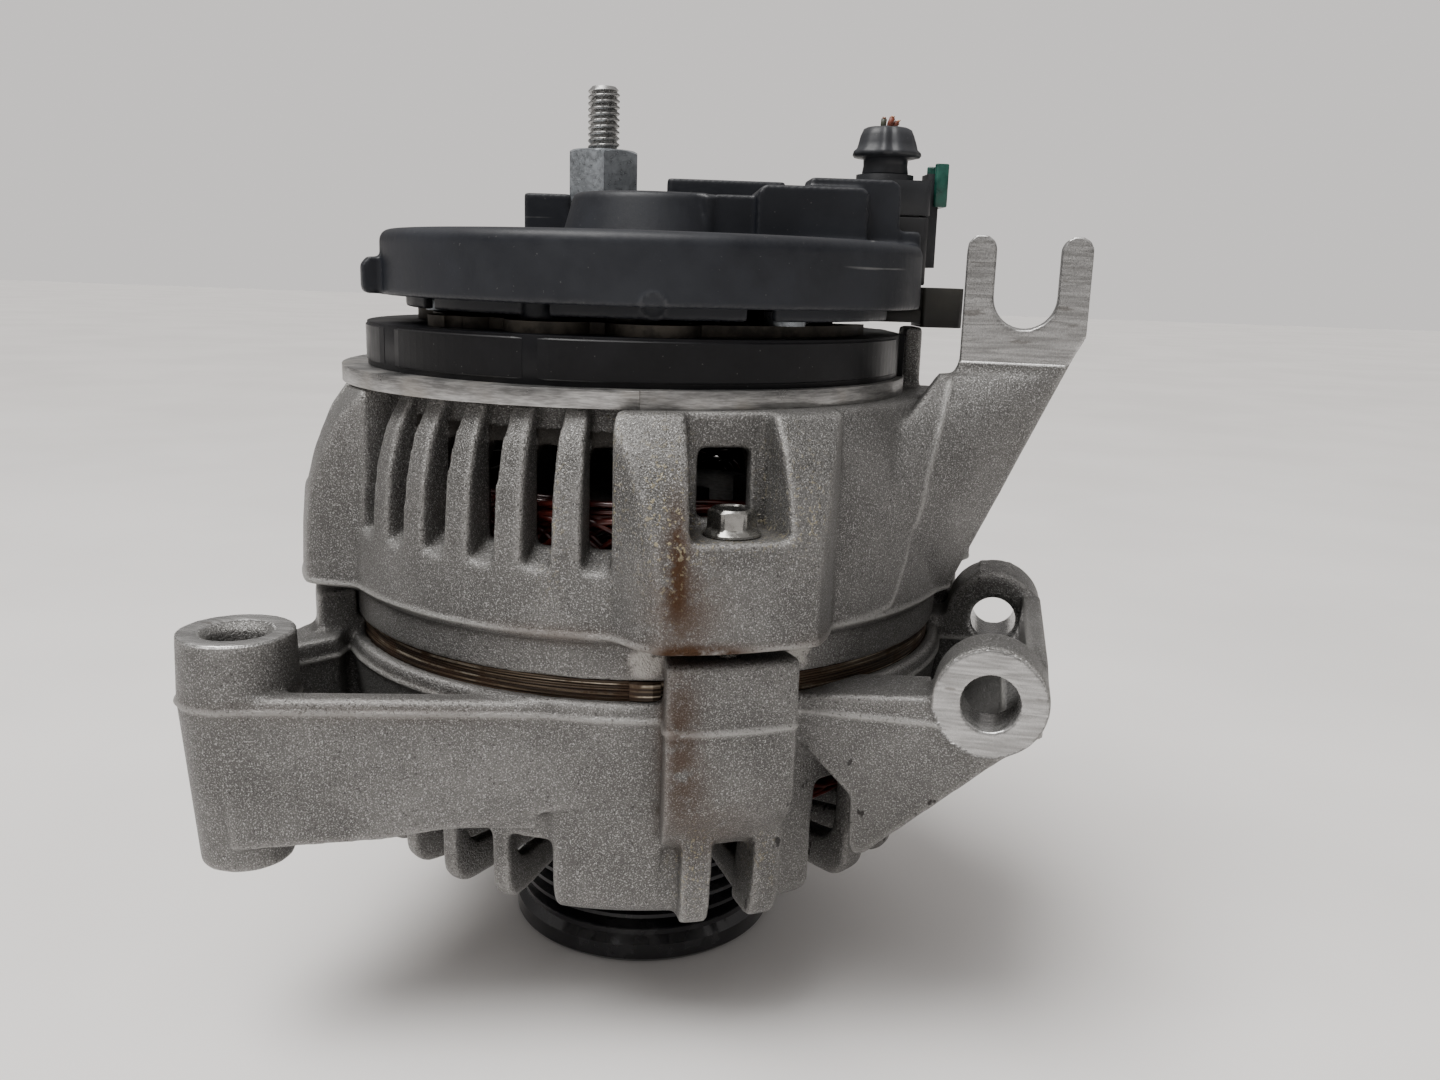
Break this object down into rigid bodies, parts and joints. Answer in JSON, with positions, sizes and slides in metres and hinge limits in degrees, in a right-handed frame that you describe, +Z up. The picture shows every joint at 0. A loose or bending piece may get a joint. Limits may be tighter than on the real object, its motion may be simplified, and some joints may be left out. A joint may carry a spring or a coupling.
{
  "type": "car alternator",
  "caption": "Claw-pole car alternator with grooved belt pulley, two ribbed cast housings, fork arm, pivot ears, side lug, output stud and wiring plug.",
  "frame": {"origin": "centre of the pulley's front face, on the shaft axis; the unit stands on that face", "axes": "+Z up along the shaft from the pulley to the output stud; -Y is the direction the pivot bolt's head side faces; +X towards the pivot ears and the fork"},
  "size_m": [0.1709, 0.1622, 0.2015],
  "materials": {
    "cast_front": "sand-textured die casting, matt",
    "cast_rear": "sand-textured die casting, matt",
    "bolt_steel": "zinc plated, slightly dull",
    "lamination_steel": "stacked sheet, light rust",
    "enamelled_copper": "dark red enamel, glossy",
    "bearing_steel": "ground and polished",
    "seal_rubber": "matt moulded rubber",
    "zinc_steel": "zinc plated, bluish",
    "plate_aluminium": "machined, satin",
    "insulator_plastic": "moulded, semi-matt",
    "black_plastic": "moulded, semi-matt",
    "nickel_plate": "dull nickel",
    "spring_steel": "drawn wire",
    "regulator_plastic": "moulded, matt",
    "cover_plastic": "moulded, semi-matt, scuffed",
    "stud_steel": "plated, dull",
    "terminal_plastic": "moulded, dusty",
    "tin_brass": "tinned",
    "shaft_steel": "ground",
    "forged_steel": "forged, machined rim",
    "bobbin_plastic": "natural nylon",
    "sheet_steel": "pressed sheet",
    "slip_ring_copper": "polished copper, dark track",
    "pulley_black": "glossy black coating",
    "brush_carbon": "pressed carbon",
    "plug_plastic": "moulded, semi-matt",
    "boot_rubber": "moulded rubber",
    "wire_insulation": "wire insulation, cut ends",
    "green_plastic": "moulded, dark green"
  },
  "bodies": {
    "housing": {"front_housing": "cast_front", "rear_housing": "cast_rear", "through_bolts": "bolt_steel", "stator_core": "lamination_steel", "stator_winding": "enamelled_copper", "phase_leads": "enamelled_copper", "front_bearing_outer_race": "bearing_steel", "front_bearing_seals": "seal_rubber", "bearing_retainer_plate": "zinc_steel", "retainer_screws": "bolt_steel", "rear_bearing_outer_race": "bearing_steel", "rear_bearing_seals": "seal_rubber", "rear_bearing_sleeve": "black_plastic", "heat_sink_plate": "plate_aluminium", "rectifier_insulator": "insulator_plastic", "positive_plate": "plate_aluminium", "positive_diodes": "nickel_plate", "negative_diodes": "nickel_plate", "rectifier_screws": "zinc_steel", "brush_holder": "black_plastic", "brush_spring_lower": "spring_steel", "brush_spring_upper": "spring_steel", "regulator_body": "regulator_plastic", "regulator_screws": "zinc_steel", "rear_cover": "cover_plastic", "output_stud": "stud_steel", "stud_insulator": "black_plastic", "stud_nut": "zinc_steel", "terminal_block": "terminal_plastic", "regulator_socket": "black_plastic", "socket_pins": "tin_brass"},
    "rotor": {"rotor_shaft": "shaft_steel", "front_claw_pole": "forged_steel", "rear_claw_pole": "forged_steel", "coil_bobbin": "bobbin_plastic", "field_coil": "enamelled_copper", "front_fan": "sheet_steel", "rear_fan": "sheet_steel", "front_spacer": "shaft_steel", "pulley_spacer": "shaft_steel", "rear_spacer": "shaft_steel", "slip_ring_carrier": "black_plastic", "slip_rings": "slip_ring_copper", "pulley": "pulley_black", "pulley_nut": "zinc_steel", "front_bearing_inner_race": "bearing_steel", "rear_bearing_inner_race": "bearing_steel"},
    "front_ball_set": {"front_bearing_balls": "bearing_steel", "front_bearing_cage": "sheet_steel"},
    "rear_ball_set": {"rear_bearing_balls": "bearing_steel", "rear_bearing_cage": "sheet_steel"},
    "lower_brush": {"brush_lower": "brush_carbon"},
    "upper_brush": {"brush_upper": "brush_carbon"},
    "plug": {"plug_body": "plug_plastic", "plug_boot": "boot_rubber", "wire_stubs": "wire_insulation"},
    "lock": {"plug_lock": "green_plastic"}
  },
  "joints": [
    {"name": "rotor_spin", "type": "hinge", "parent": "housing", "child": "rotor", "pos_m": [0, 0, 0], "axis": [0, 0, 1], "continuous": true},
    {"name": "front_balls_orbit", "type": "hinge", "parent": "housing", "child": "front_ball_set", "pos_m": [0, 0, 0.043], "axis": [0, 0, 1], "continuous": true},
    {"name": "rear_balls_orbit", "type": "hinge", "parent": "housing", "child": "rear_ball_set", "pos_m": [0, 0, 0.1245], "axis": [0, 0, 1], "continuous": true},
    {"name": "lower_brush_slide", "type": "slide", "parent": "housing", "child": "lower_brush", "axis": [0.9613, 0.2756, 0], "range_m": [0, 0.005], "stiffness_N_per_m": 100, "springref_m": -0.015, "deforming": ["brush_spring_lower"]},
    {"name": "upper_brush_slide", "type": "slide", "parent": "housing", "child": "upper_brush", "axis": [0.9613, 0.2756, 0], "range_m": [0, 0.005], "stiffness_N_per_m": 100, "springref_m": -0.015, "deforming": ["brush_spring_upper"]},
    {"name": "plug_pull", "type": "slide", "parent": "housing", "child": "plug", "axis": [0, 0, 1], "range_m": [0, 0.02]},
    {"name": "lock_slide", "type": "slide", "parent": "plug", "child": "lock", "axis": [0, 0, 1], "range_m": [0, 0.003]}
  ],
  "couplings": [
    {"joint": "front_balls_orbit", "follows": "rotor_spin", "ratio": 0.36406},
    {"joint": "rear_balls_orbit", "follows": "rotor_spin", "ratio": 0.38}
  ]
}
